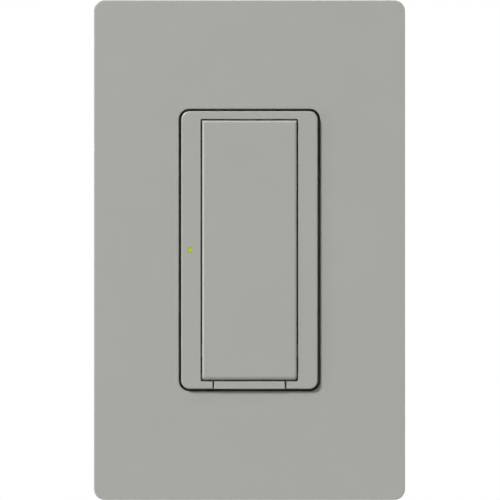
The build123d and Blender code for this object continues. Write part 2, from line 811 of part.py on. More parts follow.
# Back housing: a drafted cup with screw bosses, board ribs, posts, terminal pockets and the ground notch
with BuildPart() as back_housing:
    with BuildSketch(front_plane(0)):
        RectangleRounded(housing_width, housing_height, housing_corner)
    extrude(amount=-housing_depth, taper=housing_draft)
    fillet(back_housing.faces().sort_by(Axis.Y)[-1].edges(), radius=housing_rear_round)
    with BuildSketch(front_plane(0)):
        RectangleRounded(2 * housing_inner_x, 2 * housing_inner_z, housing_corner / 2)
    extrude(amount=-(housing_depth - housing_floor), taper=housing_draft, mode=Mode.SUBTRACT)
    with BuildSketch(front_plane(0)):
        with Locations(*housing_screw_points):
            Circle(boss_radius)
    extrude(amount=-boss_depth)
    with BuildSketch(front_plane(0)):
        with Locations((-housing_inner_x - housing_wall / 2, -housing_inner_z - housing_wall / 2)):
            block_width = notch_block_x + housing_inner_x + housing_wall / 2
            block_height = notch_block_z + housing_inner_z + housing_wall / 2
            Rectangle(block_width, block_height, align=(Align.MIN, Align.MIN))
    extrude(amount=-ground_notch_depth - ground_notch_wall)
    with BuildSketch(front_plane(-control_board_rear)):
        rib_inner_x = housing_inner_x - board_rib_reach
        rib_outer_x = housing_inner_x + housing_wall / 2
        for side in (-1, 1):
            for rib_z in (board_rib_upper_z, board_rib_lower_z):
                with Locations((side * (rib_inner_x + rib_outer_x) / 2, rib_z)):
                    Rectangle(rib_outer_x - rib_inner_x, board_rib_height)
    extrude(amount=-(power_board_back - control_board_rear - 2 * slip_gap))
    with BuildSketch(front_plane(-power_board_rear)):
        with GridLocations(0, 2 * post_z, 1, 2):
            Circle(post_radius)
        pocket_reach = housing_inner_x - pocket_block
        for side in (-1, 1):
            for pocket_z in terminal_z_places:
                with Locations((side * (pocket_block + pocket_reach / 2), pocket_z)):
                    Rectangle(pocket_reach, terminal_pocket_width + 2 * terminal_wall)
    extrude(amount=-(housing_depth - housing_floor / 2 - power_board_rear))
    with BuildSketch(front_plane(0)):
        with Locations((-housing_width / 2 - side_gap, -housing_height / 2 - side_gap)):
            cut_width = ground_notch_width + side_gap
            cut_height = ground_notch_height + side_gap
            Rectangle(cut_width, cut_height, align=(Align.MIN, Align.MIN))
    extrude(amount=-ground_notch_depth, mode=Mode.SUBTRACT)
    for side in (-1, 1):
        with BuildSketch(side_plane(side * terminal_pocket_floor, side)):
            with Locations((side * (pocket_front + pocket_rear) / 2, 0)):
                with GridLocations(0, terminal_spacing, 1, 2):
                    Rectangle(terminal_pocket_depth, terminal_pocket_width)
        extrude(amount=housing_width / 2, mode=Mode.SUBTRACT)
    with BuildSketch(front_plane(-power_board_rear)):
        for side in (-1, 1):
            with Locations((side * (terminal_pocket_floor + terminal_plate_thick / 2), 0)):
                with GridLocations(0, terminal_spacing, 1, 2):
                    Rectangle(terminal_plate_thick + 2 * seat_gap, terminal_tail_width + 2 * seat_gap)
    extrude(amount=-terminal_wall, mode=Mode.SUBTRACT)
    with BuildSketch(front_plane(-housing_depth)):
        for side in (-1, 1):
            wire_x = clamp_inner_x - wire_space / 2 + terminal_plate_thick / 2
            with Locations((side * wire_x, 0)):
                with GridLocations(0, terminal_spacing, 1, 2):
                    with GridLocations(0, wire_hole_spacing, 1, 2):
                        Circle(wire_hole_radius)
    extrude(amount=housing_depth - pocket_rear, mode=Mode.SUBTRACT)
    with BuildSketch(front_plane(0)):
        with Locations(*housing_screw_points):
            Circle(housing_screw_radius + pin_gap)
    extrude(amount=-boss_depth + housing_wall / 2, mode=Mode.SUBTRACT)
    with BuildSketch(front_plane(-control_board_rear)):
        for rib_z in (board_rib_upper_z, board_rib_lower_z):
            with Locations((0, rib_z)):
                with GridLocations(2 * (housing_inner_x - board_screw_inset), 0, 2, 1):
                    Circle(board_screw_radius + pin_gap)
    extrude(amount=-board_screw_length, mode=Mode.SUBTRACT)
    with BuildSketch(front_plane(-power_board_rear)):
        with GridLocations(0, 2 * post_z, 1, 2):
            Circle(board_screw_radius + pin_gap)
    extrude(amount=-board_screw_length, mode=Mode.SUBTRACT)
finish(back_housing, "back_housing")

# Housing screws: four countersunk screws through the yoke into the housing's bosses
with BuildPart() as housing_screws:
    for screw_x, screw_z in housing_screw_points:
        screw_seat = room_seat(screw_x, yoke_thick - seat_gap, screw_z)
        sunk_screw(screw_seat, housing_screw_head, housing_screw_radius, housing_screw_length)
finish(housing_screws, "housing_screws")

# Ground screw: a green hexagon washer head on the yoke's bent tab
with BuildPart() as ground_screw:
    ground_seat = ground_tab_x - yoke_thick / 2 - seat_gap
    with BuildSketch(side_plane(ground_seat, -1)):
        with Locations((-ground_screw_depth, ground_screw_z)):
            Circle(ground_head_radius)
    extrude(amount=ground_washer_height)
    with BuildSketch(side_plane(ground_seat, -1)):
        with Locations((-ground_screw_depth, ground_screw_z)):
            RegularPolygon(ground_head_radius - side_gap, 6)
    extrude(amount=ground_head_height)
    with BuildSketch(side_plane(ground_seat, -1)):
        with Locations((-ground_screw_depth, ground_screw_z)):
            Circle(ground_screw_radius)
    extrude(amount=-ground_screw_length)
finish(ground_screw, "ground_screw")

# Terminals: in each pocket a plate with its tail through the power board, and a clamp under a screw
for side, side_name in ((-1, "left"), (1, "right")):
    for pocket_z, level_name in zip(terminal_z_places, ("upper", "lower")):
        with BuildPart() as terminal_plate:
            plate_plane = side_plane(side * terminal_pocket_floor, side)
            with BuildSketch(plate_plane):
                with Locations((side * (pocket_front + seat_gap), pocket_z)):
                    plate_align = (Align.MIN if side > 0 else Align.MAX, Align.CENTER)
                    Rectangle(terminal_plate_length, terminal_plate_width, align=plate_align)
                tail_length = pocket_front + seat_gap - power_board_back + terminal_tail_over
                with Locations((side * (pocket_front + seat_gap), pocket_z)):
                    tail_align = (Align.MAX if side > 0 else Align.MIN, Align.CENTER)
                    Rectangle(tail_length, terminal_tail_width, align=tail_align)
                with Locations((side * terminal_screw_back, pocket_z)):
                    Circle(terminal_screw_radius + pin_gap, mode=Mode.SUBTRACT)
            extrude(amount=terminal_plate_thick)
        finish(terminal_plate, f"terminal_plate_{side_name}_{level_name}")

        with BuildPart() as terminal_clamp:
            with BuildSketch(side_plane(side * clamp_inner_x, side)):
                with Locations((side * terminal_screw_back, pocket_z)):
                    RectangleRounded(clamp_size, clamp_size, clamp_thick / 2)
                    Circle(clamp_hole, mode=Mode.SUBTRACT)
            extrude(amount=clamp_thick)
        finish(terminal_clamp, f"terminal_clamp_{side_name}_{level_name}")

    with BuildPart() as terminal_screws:
        for pocket_z in terminal_z_places:
            seat_point = (side * clamp_outer_x, terminal_screw_back, pocket_z)
            screw_seat = Plane(origin=seat_point, x_dir=(0, side, 0), z_dir=(side, 0, 0))
            screw_reach = clamp_outer_x - terminal_pocket_floor - seat_gap
            head_sizes = (terminal_head_radius, terminal_head_height)
            turned_screw(screw_seat, *head_sizes, terminal_screw_radius, screw_reach)
    finish(terminal_screws, f"terminal_screws_{side_name}")

# Control board: behind the yoke, cut clear of the bosses, the ground notch and the service tab's carrier
with BuildPart() as control_board:
    board_bottom = tab_middle + carrier_height / 2 + control_board_bottom_gap
    with BuildSketch(front_plane(-control_board_back)):
        with Locations((0, (board_top + board_bottom) / 2)):
            Rectangle(2 * board_half_width, board_top - board_bottom)
        with Locations(*housing_screw_points):
            Circle(boss_radius + side_gap, mode=Mode.SUBTRACT)
        with Locations((-housing_width / 2, -housing_height / 2)):
            corner_width = notch_block_x + side_gap + housing_width / 2
            corner_height = notch_block_z + side_gap + housing_height / 2
            Rectangle(corner_width, corner_height, align=(Align.MIN, Align.MIN), mode=Mode.SUBTRACT)
        for rib_z in (board_rib_upper_z, board_rib_lower_z):
            with Locations((0, rib_z)):
                with GridLocations(2 * (housing_inner_x - board_screw_inset), 0, 2, 1):
                    Circle(board_screw_radius + snap_gap, mode=Mode.SUBTRACT)
    extrude(amount=-board_thick)
finish(control_board, "control_board")

# Control board screws: four small pan-headed screws into the housing's ribs
with BuildPart() as control_board_screws:
    for rib_z in (board_rib_upper_z, board_rib_lower_z):
        for side in (-1, 1):
            screw_x = side * (housing_inner_x - board_screw_inset)
            board_screw(room_seat(screw_x, -control_board_back, rib_z))
finish(control_board_screws, "control_board_screws")

# Tactile switch: a square body with a well, and the plunger that the paddle's striker presses
with BuildPart(front_plane(tact_body_height - control_board_back)) as tact_switch_body:
    with BuildSketch(front_plane(-control_board_back)):
        with Locations((0, tact_z)):
            Rectangle(tact_size, tact_size)
    extrude(amount=tact_body_height)
    chamfer(tact_switch_body.edges().filter_by(Axis.Y), length=tact_corner)
    with Locations((0, tact_z)):
        Hole(tact_plunger_radius + pin_gap, depth=tact_plunger_skirt + tact_sink)
finish(tact_switch_body, "tact_switch_body")

with BuildPart() as tact_switch_plunger:
    with BuildSketch(front_plane(tact_body_height - control_board_back - tact_plunger_skirt)):
        with Locations((0, tact_z)):
            Circle(tact_plunger_radius)
    extrude(amount=tact_height - tact_body_height + tact_plunger_skirt)
    chamfer(tact_switch_plunger.edges().sort_by(Axis.Y)[0], length=tact_plunger_chamfer)
finish(tact_switch_plunger, "tact_switch_plunger")

# Status light: a small chip light below the light pipe
with BuildPart() as status_light:
    with BuildSketch(front_plane(-control_board_back)):
        with Locations((light_x, light_z)):
            Rectangle(led_width, led_length)
    extrude(amount=led_height)
    chamfer(status_light.faces().sort_by(Axis.Y)[0].edges(), length=led_chamfer)
finish(status_light, "status_light")

# Processor: a flat square package above the tactile switch
with BuildPart() as processor:
    with BuildSketch(front_plane(-control_board_back)):
        with Locations((0, processor_z)):
            Rectangle(processor_size, processor_size)
    extrude(amount=processor_depth)
    chamfer(processor.faces().sort_by(Axis.Y)[0].edges(), length=processor_chamfer)
finish(processor, "processor")

# Radio shield: a drawn tin can over the radio parts, open towards the board
with BuildPart() as radio_shield:
    with BuildSketch(front_plane(-control_board_back)):
        with Locations((shield_x, shield_z)):
            Rectangle(shield_width, shield_height)
    extrude(amount=shield_depth)
    fillet(radio_shield.edges().filter_by(Axis.Y), radius=shield_corner)
    offset(amount=-shield_wall, openings=radio_shield.faces().sort_by(Axis.Y)[-1])
finish(radio_shield, "radio_shield")

# Antenna: a stamped strip in front of the yoke, beside the paddle, with two legs to the control board
with BuildPart() as antenna:
    with BuildSketch(side_plane(antenna_x - antenna_thick / 2)):
        with Locations((antenna_width / 2 - antenna_front, 0)):
            Rectangle(antenna_width, 2 * antenna_half_length)
        with Locations((-antenna_front, 0)):
            with GridLocations(0, 2 * antenna_half_length - antenna_leg, 1, 2):
                leg_length = antenna_front + control_board_back
                Rectangle(leg_length, antenna_leg, align=(Align.MIN, Align.CENTER))
    extrude(amount=antenna_thick)
finish(antenna, "antenna")

# Board header: the plug block between the boards, with its row of square pins
with BuildPart() as board_header:
    with BuildSketch(front_plane(-control_board_rear)):
        with Locations((0, header_z)):
            Rectangle(header_pins * header_pitch, header_pitch)
            with GridLocations(header_pitch, 0, header_pins, 1):
                pin_hole_width = header_pin_width + 2 * seat_gap
                Rectangle(pin_hole_width, pin_hole_width, mode=Mode.SUBTRACT)
    extrude(amount=-header_depth)
finish(board_header, "board_header")

with BuildPart() as board_header_pins:
    with BuildSketch(front_plane(-control_board_rear)):
        with Locations((0, header_z)):
            with GridLocations(header_pitch, 0, header_pins, 1):
                Rectangle(header_pin_width, header_pin_width)
    extrude(amount=-(power_board_back - control_board_rear))
finish(board_header_pins, "board_header_pins")

# Power board: rests on the terminal pockets and the posts, with slots for the terminals' tails
with BuildPart() as power_board:
    draft_shift = power_board_rear * tan(radians(housing_draft))
    with BuildSketch(front_plane(-power_board_back)):
        Rectangle(2 * (board_half_width - draft_shift), 2 * (board_top - draft_shift))
        with Locations((-housing_width / 2, -housing_height / 2)):
            Rectangle(corner_width, corner_height, align=(Align.MIN, Align.MIN), mode=Mode.SUBTRACT)
        for side in (-1, 1):
            with Locations((side * (terminal_pocket_floor + terminal_plate_thick / 2), 0)):
                with GridLocations(0, terminal_spacing, 1, 2):
                    slot_width = terminal_plate_thick + 2 * snap_gap
                    Rectangle(slot_width, terminal_tail_width + 2 * snap_gap, mode=Mode.SUBTRACT)
        with GridLocations(0, 2 * post_z, 1, 2):
            Circle(board_screw_radius + snap_gap, mode=Mode.SUBTRACT)
    extrude(amount=-board_thick)
finish(power_board, "power_board")

with BuildPart() as power_board_screws:
    for screw_z in (-post_z, post_z):
        board_screw(room_seat(0, -power_board_back, screw_z))
finish(power_board_screws, "power_board_screws")

# Relay: a sealed box on the power board
with BuildPart() as relay:
    with BuildSketch(front_plane(-power_board_rear)):
        with Locations((0, relay_z)):
            RectangleRounded(relay_width, relay_height, relay_corner)
    extrude(amount=-relay_depth)
    chamfer(relay.faces().sort_by(Axis.Y)[-1].edges(), length=relay_bevel)
finish(relay, "relay")

# Transformer: a ferrite frame round a winding on its middle leg
with BuildPart() as transformer_core:
    with BuildSketch(front_plane(-power_board_rear)):
        with Locations((core_x, core_z)):
            Rectangle(core_width, core_height)
    extrude(amount=-core_depth)
    with BuildSketch(front_plane(-power_board_rear)):
        with Locations((core_x, core_z)):
            Rectangle(core_width - 2 * core_leg, core_height)
            Rectangle(core_leg, core_height, mode=Mode.SUBTRACT)
    extrude(amount=-core_depth + core_leg, mode=Mode.SUBTRACT)
finish(transformer_core, "transformer_core")

with BuildPart() as transformer_winding:
    with BuildSketch(front_plane(-power_board_rear)):
        with Locations((core_x, core_z)):
            winding_width = core_width - 2 * core_leg - 2 * winding_gap
            RectangleRounded(winding_width, core_height + 2 * winding_over, winding_corner)
            Rectangle(core_leg + 2 * winding_gap, core_height, mode=Mode.SUBTRACT)
    extrude(amount=-core_depth + core_leg + winding_gap)
finish(transformer_winding, "transformer_winding")

# Electrolytic capacitors: two upright cans with the rolled groove near the seal
for name, side in (("electrolytic_capacitor_left", -1), ("electrolytic_capacitor_right", 1)):
    with BuildPart() as electrolytic_capacitor:
        can_x = side * electrolytic_spacing / 2
        with BuildSketch(Plane.XY.offset(electrolytic_z)):
            with BuildLine():
                groove_back = power_board_rear + electrolytic_groove_rise
                groove_edge = can_x + electrolytic_radius
                Polyline(
                    (can_x, power_board_rear),
                    (groove_edge, power_board_rear),
                    (groove_edge, groove_back - electrolytic_groove),
                    (groove_edge - electrolytic_groove, groove_back),
                    (groove_edge, groove_back + electrolytic_groove),
                    (groove_edge, power_board_rear + electrolytic_height),
                    (can_x, power_board_rear + electrolytic_height),
                    close=True,
                )
            make_face()
        revolve(axis=Axis((can_x, 0, electrolytic_z), (0, 1, 0)))
        chamfer(electrolytic_capacitor.faces().sort_by(Axis.Y)[-1].edges(), length=electrolytic_bevel)
    finish(electrolytic_capacitor, name)

# Film capacitor: a moulded box across the line
with BuildPart() as film_capacitor:
    with BuildSketch(front_plane(-power_board_rear)):
        with Locations((film_x, film_z)):
            Rectangle(film_width, film_height)
    extrude(amount=-film_depth)
    chamfer(film_capacitor.faces().sort_by(Axis.Y)[-1].edges(), length=film_chamfer)
finish(film_capacitor, "film_capacitor")

# Varistor: a dipped disc standing on its two leads
with BuildPart() as varistor:
    disc_centre = power_board_rear + varistor_stand + varistor_radius
    with BuildSketch(side_plane(varistor_x - varistor_thick / 2)):
        with Locations((disc_centre, core_z)):
            Circle(varistor_radius)
    extrude(amount=varistor_thick)
    chamfer(varistor.edges().filter_by(GeomType.CIRCLE), length=varistor_bevel)
    with BuildSketch(front_plane(-power_board_rear)):
        with Locations((varistor_x, core_z)):
            with GridLocations(0, varistor_lead_spacing, 1, 2):
                Circle(varistor_lead_radius)
    extrude(amount=-varistor_stand - varistor_radius / 2)
finish(varistor, "varistor")

# Fusible resistor: a small lacquered barrel lying on the board
with BuildPart() as fusible_resistor:
    with BuildSketch(Plane.XY.offset(resistor_z - resistor_length / 2)):
        with Locations((resistor_x, power_board_rear + resistor_radius)):
            Circle(resistor_radius)
    extrude(amount=resistor_length)
    chamfer(fusible_resistor.edges().filter_by(GeomType.CIRCLE), length=resistor_bevel)
finish(fusible_resistor, "fusible_resistor")
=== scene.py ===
import bpy
from math import radians
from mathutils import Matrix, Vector


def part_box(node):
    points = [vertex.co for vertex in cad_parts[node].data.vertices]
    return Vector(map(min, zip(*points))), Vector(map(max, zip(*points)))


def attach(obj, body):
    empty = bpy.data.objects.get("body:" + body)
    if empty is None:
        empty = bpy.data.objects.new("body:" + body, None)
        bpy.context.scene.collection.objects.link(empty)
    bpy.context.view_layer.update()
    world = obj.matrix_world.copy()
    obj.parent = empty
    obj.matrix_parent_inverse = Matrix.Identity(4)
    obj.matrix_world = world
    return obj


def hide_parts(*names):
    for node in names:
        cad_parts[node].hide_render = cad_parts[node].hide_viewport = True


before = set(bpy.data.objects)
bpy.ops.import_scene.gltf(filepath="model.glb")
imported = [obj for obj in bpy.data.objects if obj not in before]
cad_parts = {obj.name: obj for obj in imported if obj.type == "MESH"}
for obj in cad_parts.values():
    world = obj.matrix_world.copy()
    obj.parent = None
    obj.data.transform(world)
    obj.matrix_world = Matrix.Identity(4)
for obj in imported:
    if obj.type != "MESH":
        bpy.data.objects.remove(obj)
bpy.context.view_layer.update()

# Faceplate, bezel, paddle and service tab: injection moulded in one grey plastic with a smooth satin face.
# The faceplate clips over the adapter plate, the bezel is hooked into the strap, the paddle turns on two
# stub pins near its top, and the tab slides in the bezel's bottom strip.
MOULDING_GREY = (0.366, 0.370, 0.342)
MOULDING_IOR = 1.58
NOISE_LOW, NOISE_HIGH = 0.3, 0.7
RELIEF_STRENGTH = 0.5
COLOUR_DRIFT_SIZE = 0.018
GLOSS_DRIFT_SIZE = 0.006
GLOSS_DRIFT = 0.03


def new_finish(name, colour, roughness, metallic=0.0):
    """A material with an even colour and gloss. Returns it with its nodes, links and shader."""
    finish = bpy.data.materials.new(name)
    finish.use_nodes = True
    nodes, links = finish.node_tree.nodes, finish.node_tree.links
    shader = nodes["Principled BSDF"]
    shader.inputs["Base Color"].default_value = (*colour, 1.0)
    shader.inputs["Roughness"].default_value = roughness
    shader.inputs["Metallic"].default_value = metallic
    return finish, nodes, links, shader


def noise_on(nodes, links, size, detail=2.0, stretch=(1.0, 1.0, 1.0)):
    """A noise fixed to the piece, its marks this size in metres and longer on axes with a small stretch."""
    place = nodes.new("ShaderNodeTexCoord")
    mapping = nodes.new("ShaderNodeMapping")
    mapping.inputs["Scale"].default_value = stretch
    noise = nodes.new("ShaderNodeTexNoise")
    noise.inputs["Scale"].default_value = 1 / size
    noise.inputs["Detail"].default_value = detail
    links.new(place.outputs["Object"], mapping.inputs["Vector"])
    links.new(mapping.outputs["Vector"], noise.inputs["Vector"])
    return noise.outputs["Fac"]


def shade_between(nodes, links, factor, low, high, target):
    """Runs a colour input from low to high with a factor."""
    ramp = nodes.new("ShaderNodeValToRGB")
    ramp.color_ramp.elements[0].position = NOISE_LOW
    ramp.color_ramp.elements[0].color = (*low, 1.0)
    ramp.color_ramp.elements[1].position = NOISE_HIGH
    ramp.color_ramp.elements[1].color = (*high, 1.0)
    links.new(factor, ramp.inputs["Fac"])
    links.new(ramp.outputs["Color"], target)


def vary(nodes, links, factor, low, high, target):
    """Runs a number input from low to high with a factor."""
    spread = nodes.new("ShaderNodeMapRange")
    spread.inputs["From Min"].default_value = NOISE_LOW
    spread.inputs["From Max"].default_value = NOISE_HIGH
    spread.inputs["To Min"].default_value = low
    spread.inputs["To Max"].default_value = high
    links.new(factor, spread.inputs["Value"])
    links.new(spread.outputs["Result"], target)


def relief(nodes, links, factor, depth, shader):
    """Raises a factor as fine relief of this depth in metres."""
    bump = nodes.new("ShaderNodeBump")
    bump.inputs["Distance"].default_value = depth
    bump.inputs["Strength"].default_value = RELIEF_STRENGTH
    links.new(factor, bump.inputs["Height"])
    links.new(bump.outputs["Normal"], shader.inputs["Normal"])


def tinted(colour, share):
    """The colour made lighter or darker by a share."""
    return tuple(value * share for value in colour)


def moulded_plastic(name, colour, roughness, grain, depth, unevenness):
    """A moulded plastic: fine grain from the mould, and colour and gloss that drift a little."""
    finish, nodes, links, shader = new_finish(name, colour, roughness)
    drift = noise_on(nodes, links, COLOUR_DRIFT_SIZE)
    low, high = tinted(colour, 1 - unevenness), tinted(colour, 1 + unevenness)
    shade_between(nodes, links, drift, low, high, shader.inputs["Base Color"])
    gloss = noise_on(nodes, links, GLOSS_DRIFT_SIZE, detail=3.0)
    vary(nodes, links, gloss, roughness - GLOSS_DRIFT, roughness + GLOSS_DRIFT, shader.inputs["Roughness"])
    relief(nodes, links, noise_on(nodes, links, grain, detail=1.0), depth, shader)
    return finish


def dress(finish, slot, *names):
    """Gives CAD nodes a finish. The slot argument is not used."""
    for name in names:
        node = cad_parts[name]
        node.data.materials.clear()
        node.data.materials.append(finish)


satin_grey = moulded_plastic("satin_grey", MOULDING_GREY, roughness=0.32, grain=0.00035, depth=0.000003,
                             unevenness=0.008)
satin_grey.node_tree.nodes["Principled BSDF"].inputs["IOR"].default_value = MOULDING_IOR
dress(satin_grey, "grey_moulding", "faceplate", "bezel", "paddle", "service_tab")

# Light pipe: a clear yellow-green pin through the bezel's left strip, lit from the status light behind it.
# Its tip stands level with the bezel.
PIPE_GREEN = (0.34, 0.478, 0.014)
PIPE_COAT = 0.3
PIPE_GLOW = 0.12
PIPE_SWIRL_SIZE = 0.0008
lit_green, pipe_nodes, pipe_links, pipe_shader = new_finish("lit_green", PIPE_GREEN, roughness=0.25)
pipe_shader.inputs["Coat Weight"].default_value = PIPE_COAT
pipe_shader.inputs["Emission Color"].default_value = (*PIPE_GREEN, 1.0)
pipe_shader.inputs["Emission Strength"].default_value = PIPE_GLOW
pipe_swirl = noise_on(pipe_nodes, pipe_links, PIPE_SWIRL_SIZE)
shade_between(pipe_nodes, pipe_links, pipe_swirl, tinted(PIPE_GREEN, 0.93), tinted(PIPE_GREEN, 1.07),
              pipe_shader.inputs["Base Color"])
dress(lit_green, "light_pipe_plastic", "light_pipe")

# Adapter plate: a thin plain plastic plate behind the faceplate, with two zinc plated screws into the strap.
# Their heads, like those of all the screws that are driven from the room side, have a cross recess.
ADAPTER_GREY = (0.42, 0.42, 0.40)
plain_grey = moulded_plastic("plain_grey", ADAPTER_GREY, roughness=0.5, grain=0.0005, depth=0.000008,
                             unevenness=0.03)
dress(plain_grey, "adapter_plastic", "adapter_plate")

ZINC = (0.72, 0.72, 0.70)
CLOUD_SIZE = 0.003
SCRATCH_SIZE = 0.0002
SCRATCH_DEPTH = 0.000003
WELD = 0.000002
CREASE = radians(35)
CROSS_ARM, CROSS_ACROSS, CROSS_DEPTH = 1.1, 0.25, 0.4


def plated_metal(name, colour, roughness):
    """Plated or polished metal: cloudy gloss and fine handling marks."""
    finish, nodes, links, shader = new_finish(name, colour, roughness, metallic=1.0)
    cloud = noise_on(nodes, links, CLOUD_SIZE, detail=4.0)
    vary(nodes, links, cloud, roughness - 0.08, roughness + 0.1, shader.inputs["Roughness"])
    dull, bright = tinted(colour, 0.92), tinted(colour, 1.04)
    shade_between(nodes, links, cloud, dull, bright, shader.inputs["Base Color"])
    relief(nodes, links, noise_on(nodes, links, SCRATCH_SIZE), SCRATCH_DEPTH, shader)
    return finish


def copy_to_cut(name):
    """A closed copy of a CAD node's mesh, selected alone, for a recess to be cut in."""
    bpy.ops.object.select_all(action="DESELECT")
    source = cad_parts[name]
    piece = bpy.data.objects.new(name + "_driven", source.data.copy())
    bpy.context.scene.collection.objects.link(piece)
    piece.select_set(True)
    bpy.context.view_layer.objects.active = piece
    bpy.ops.object.mode_set(mode="EDIT")
    bpy.ops.mesh.select_all(action="SELECT")
    bpy.ops.mesh.remove_doubles(threshold=WELD)
    bpy.ops.object.mode_set(mode="OBJECT")
    return piece


def screw_boxes(name):
    """The lowest and highest corners of each separate screw of a CAD node, read from a copy taken apart."""
    copy_to_cut(name)
    bpy.ops.object.mode_set(mode="EDIT")
    bpy.ops.mesh.select_all(action="SELECT")
    bpy.ops.mesh.separate(type="LOOSE")
    bpy.ops.object.mode_set(mode="OBJECT")
    boxes = []
    for screw in list(bpy.context.selected_objects):
        places = [vertex.co for vertex in screw.data.vertices]
        low = Vector([min(place[axis] for place in places) for axis in range(3)])
        high = Vector([max(place[axis] for place in places) for axis in range(3)])
        boxes.append((low, high))
        bpy.data.objects.remove(screw, do_unlink=True)
    return boxes


def cross_bars(name):
    """Two bars across each other at each head of a CAD node of screws that are driven from the room side."""
    bars = []
    for low, high in screw_boxes(name):
        radius = (high.x - low.x) / 2
        head = ((low.x + high.x) / 2, low.y, (low.z + high.z) / 2)
        arm, across, depth = CROSS_ARM * radius, CROSS_ACROSS * radius, CROSS_DEPTH * radius
        bars.append((head, (arm, 2 * depth, across)))
        bars.append((head, (across, 2 * depth, arm)))
    return bars


def cut_bar(piece, centre, size):
    """Cuts a square bar out of a piece."""
    bpy.ops.object.select_all(action="DESELECT")
    bpy.ops.mesh.primitive_cube_add(size=1.0, location=centre, scale=size)
    bar = bpy.context.object
    bpy.ops.object.select_all(action="DESELECT")
    bpy.context.view_layer.objects.active = piece
    piece.select_set(True)
    cut = piece.modifiers.new("recess", "BOOLEAN")
    cut.operation = "DIFFERENCE"
    cut.object = bar
    bpy.ops.object.modifier_apply(modifier=cut.name)
    bpy.data.objects.remove(bar, do_unlink=True)


def driven(name, finish, bars):
    """Stands in for a CAD screw node with its recesses cut: bars is a list of centres and sizes."""
    piece = copy_to_cut(name)
    for centre, size in bars:
        cut_bar(piece, centre, size)
    bpy.ops.object.shade_smooth_by_angle(angle=CREASE)
    piece.data.materials.clear()
    piece.data.materials.append(finish)
    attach(piece, "device")
    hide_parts(name)


zinc_plate = plated_metal("zinc_plate", ZINC, roughness=0.36)
driven("adapter_screws", zinc_plate, cross_bars("adapter_screws"))

# Strap: stamped from mill-finish aluminium strip, with the rolling lines along its length. It carries the
# device in the wall box.
STRAP_ALUMINIUM = (0.77, 0.78, 0.79)
ROLLING_DEPTH = 0.000006


def rolled_metal(name, colour, roughness, line, stretch):
    """Rolled sheet: fine lines one way, and gloss that changes from line to line."""
    finish, nodes, links, shader = new_finish(name, colour, roughness, metallic=1.0)
    lines = noise_on(nodes, links, line, detail=4.0, stretch=stretch)
    vary(nodes, links, lines, roughness - 0.1, roughness + 0.12, shader.inputs["Roughness"])
    dull, bright = tinted(colour, 0.9), tinted(colour, 1.03)
    shade_between(nodes, links, lines, dull, bright, shader.inputs["Base Color"])
    relief(nodes, links, lines, ROLLING_DEPTH, shader)
    return finish


mill_aluminium = rolled_metal("mill_aluminium", STRAP_ALUMINIUM, roughness=0.38, line=0.0006,
                              stretch=(1.0, 1.0, 0.04))
dress(mill_aluminium, "strap_aluminium", "yoke")

# Ground screw: a green dyed plated steel screw with a hexagon washer head, on the strap's bent tab. A slot
# runs across its head.
GROUND_GREEN = (0.03, 0.22, 0.07)
DYE_CLOUD_SIZE = 0.002
SLOT_WIDTH = 0.0009
SLOT_DEPTH = 0.0010
GROUND_SLOT_LENGTH = 0.008
green_dye, dye_nodes, dye_links, dye_shader = new_finish("green_dye", GROUND_GREEN, roughness=0.35,
                                                         metallic=0.6)
dye_cloud = noise_on(dye_nodes, dye_links, DYE_CLOUD_SIZE, detail=3.0)
shade_between(dye_nodes, dye_links, dye_cloud, tinted(GROUND_GREEN, 0.8), tinted(GROUND_GREEN, 1.15),
              dye_shader.inputs["Base Color"])
vary(dye_nodes, dye_links, dye_cloud, 0.28, 0.45, dye_shader.inputs["Roughness"])
ground_low, ground_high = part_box("ground_screw")
ground_middle = (ground_low + ground_high) / 2
ground_head = (ground_low.x, ground_middle.y, ground_middle.z)
ground_slot = (2 * SLOT_DEPTH, GROUND_SLOT_LENGTH, SLOT_WIDTH)
driven("ground_screw", green_dye, [(ground_head, ground_slot)])

# Back housing: a deep dark plastic cup with a spark-eroded grain, screwed to the strap from the front by four
# zinc plated screws.
HOUSING_DARK = (0.028, 0.029, 0.031)
dark_grain = moulded_plastic("dark_grain", HOUSING_DARK, roughness=0.55, grain=0.0004, depth=0.00003,
                             unevenness=0.12)
dress(dark_grain, "housing_plastic", "back_housing")
driven("housing_screws", zinc_plate, cross_bars("housing_screws"))

# Terminals: stamped plates, clamps and round-headed screws in the housing's side pockets, nickel plated at
# the left and bright brass at the right.
NICKEL = (0.70, 0.69, 0.66)
BRASS = (0.76, 0.56, 0.24)
TERMINAL_SLOT_REACH = 2.2
TERMINAL_ARM_DEPTH = 0.0013
nickel_plate = plated_metal("nickel_plate", NICKEL, roughness=0.25)
dress(nickel_plate, "nickel_terminal", "terminal_plate_left_upper", "terminal_plate_left_lower",
      "terminal_clamp_left_upper", "terminal_clamp_left_lower")
bright_brass = plated_metal("bright_brass", BRASS, roughness=0.28)
dress(bright_brass, "brass_terminal", "terminal_plate_right_upper", "terminal_plate_right_lower",
      "terminal_clamp_right_upper", "terminal_clamp_right_lower", "fixed_contact_left", "fixed_contact_right")


def terminal_heads(name, finish, outward):
    """The two screws of one side, with a slot across each head and a shorter arm across the slot."""
    low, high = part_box(name)
    radius = (high.y - low.y) / 2
    outer = high.x if outward > 0 else low.x
    bars = []
    for screw_z in (low.z + radius, high.z - radius):
        centre = (outer, low.y + radius, screw_z)
        bars.append((centre, (2 * SLOT_DEPTH, SLOT_WIDTH, TERMINAL_SLOT_REACH * radius)))
        bars.append((centre, (2 * TERMINAL_ARM_DEPTH, CROSS_ARM * radius, SLOT_WIDTH)))
    driven(name, finish, bars)


terminal_heads("terminal_screws_left", nickel_plate, -1)
terminal_heads("terminal_screws_right", bright_brass, 1)

